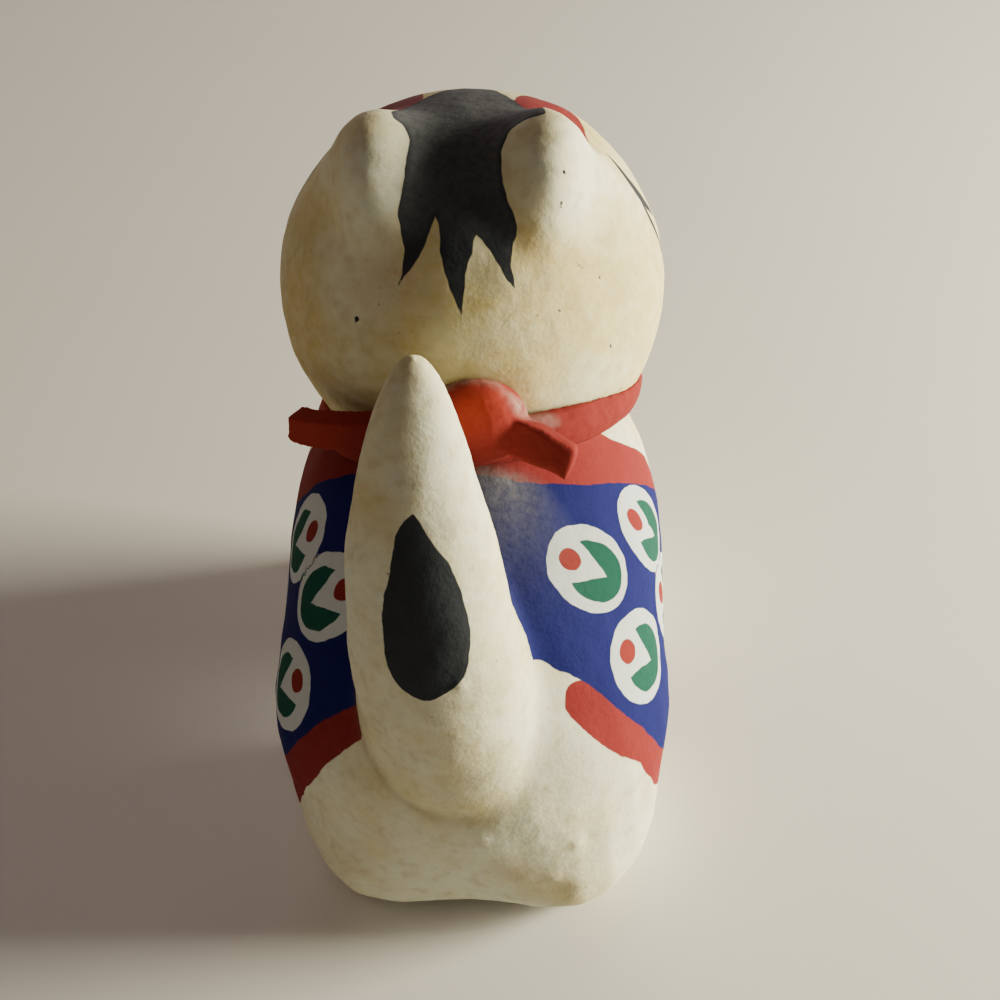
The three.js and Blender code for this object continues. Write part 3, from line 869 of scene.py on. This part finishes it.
def swept_floor():
    """A round floor that sweeps up into a low wall, as a studio's does."""
    bpy.ops.object.select_all(action="DESELECT")
    bpy.ops.mesh.primitive_circle_add(vertices=96, radius=FLOOR["flat"], fill_type="NGON")
    floor = bpy.context.object
    floor.name = "floor"
    bpy.ops.object.mode_set(mode="EDIT")
    bpy.ops.mesh.select_mode(type="EDGE")
    bpy.ops.mesh.select_all(action="SELECT")
    bpy.ops.mesh.region_to_loop()
    out, up = FLOOR["flat"], 0.0
    for step in range(1, FLOOR["steps"] + 1):
        turn = math.pi / 2 * step / FLOOR["steps"]
        next_out = FLOOR["flat"] + FLOOR["sweep"] * math.sin(turn)
        next_up = FLOOR["sweep"] * (1 - math.cos(turn))
        bpy.ops.mesh.extrude_edges_move(TRANSFORM_OT_translate={"value": (0, 0, next_up - up)})
        wider = next_out / out
        bpy.ops.transform.resize(value=(wider, wider, 1), center_override=(0, 0, 0))
        out, up = next_out, next_up
    bpy.ops.mesh.extrude_edges_move(TRANSFORM_OT_translate={"value": (0, 0, FLOOR["wall"])})
    bpy.ops.mesh.select_all(action="SELECT")
    bpy.ops.mesh.normals_make_consistent(inside=True)
    bpy.ops.object.mode_set(mode="OBJECT")
    bpy.ops.object.shade_smooth()
    return floor


class FIGURE_OT_stage(bpy.types.Operator):
    """Lay the pale floor, light it softly from one side, and set the camera"""
    bl_idname = "figure.stage"
    bl_label = "Stage"

    def execute(self, context):
        floor = swept_floor()
        # Uncoated board is matte and nearly even, with only faint clouds in it.
        finish, tree = new_finish("Uncoated paper board")
        place = (add(tree, "ShaderNodeTexCoord"), "Object")
        clouds = add(tree, NOISE, {"Vector": place, "Scale": per_mm(60), "Detail": 3.0})
        faint = add(tree, RANGE, {0: clouds, 1: 0.3, 2: 0.7, 4: 0.25}, clamp=True)
        look = blend(tree, faint, context.scene.figure_colours.floor, colour("#E8E4DF"))
        surface = add(tree, "ShaderNodeBsdfPrincipled", {
            "Base Color": look, "Roughness": 0.9, "Specular IOR Level": 0.2})
        add(tree, "ShaderNodeOutputMaterial", {0: surface})
        floor.data.materials.append(finish)

        for name, at, size, power, tint in LIGHTS:
            lamp = bpy.data.lights.new(name, "AREA")
            lamp.shape = "RECTANGLE"
            lamp.size, lamp.size_y = size
            lamp.energy = power
            lamp.color = colour(tint)[:3]
            light = bpy.data.objects.new(name, lamp)
            context.scene.collection.objects.link(light)
            light.location = at
            light.rotation_mode = "QUATERNION"
            light.rotation_quaternion = (LIT_MIDDLE - Vector(at)).to_track_quat("-Z", "Z")

        world = bpy.data.worlds.new("Soft room")
        world.use_nodes = True
        world.node_tree.nodes["Background"].inputs[0].default_value = colour(ROOM["tint"])
        world.node_tree.nodes["Background"].inputs[1].default_value = ROOM["strength"]
        context.scene.world = world

        lens = bpy.data.cameras.new("camera")
        lens.sensor_width = 36
        lens.lens = lens.sensor_width / 2 / math.tan(CAMERA_FIELD / 2)
        lens.clip_start = 0.01
        camera = bpy.data.objects.new("camera", lens)
        context.scene.collection.objects.link(camera)
        away = CAMERA_AIM["azimuth"]
        lift = CAMERA_AIM["elevation"]
        back = Vector((math.sin(away) * math.cos(lift), -math.cos(away) * math.cos(lift), math.sin(lift)))
        camera.location = CAMERA_AT
        camera.rotation_mode = "QUATERNION"
        camera.rotation_quaternion = aim(-back, CAMERA_AIM["roll"]).to_quaternion()
        context.scene.camera = camera
        return {"FINISHED"}


class FIGURE_PT_panel(bpy.types.Panel):
    """Sizes, colours and steps of the paper dog"""
    bl_idname = "FIGURE_PT_panel"
    bl_label = "Paper dog"
    bl_space_type = "VIEW_3D"
    bl_region_type = "UI"
    bl_category = "Paper dog"

    def draw(self, context):
        for settings in (context.scene.figure_sizes, context.scene.figure_colours):
            for name in settings.__annotations__:
                self.layout.prop(settings, name)
        for step in STEPS:
            self.layout.operator(step.bl_idname)


STEPS = (FIGURE_OT_dog, FIGURE_OT_ribbon, FIGURE_OT_stage)
CLASSES = (FigureSizes, FigureColours, *STEPS, FIGURE_PT_panel)


def register():
    for each in CLASSES:
        bpy.utils.register_class(each)
    bpy.types.Scene.figure_sizes = PointerProperty(type=FigureSizes)
    bpy.types.Scene.figure_colours = PointerProperty(type=FigureColours)


def unregister():
    del bpy.types.Scene.figure_colours
    del bpy.types.Scene.figure_sizes
    for each in reversed(CLASSES):
        bpy.utils.unregister_class(each)


def main():
    register()
    bpy.ops.figure.dog()
    bpy.ops.figure.ribbon()
    bpy.ops.figure.stage()


if __name__ == "__main__":
    main()
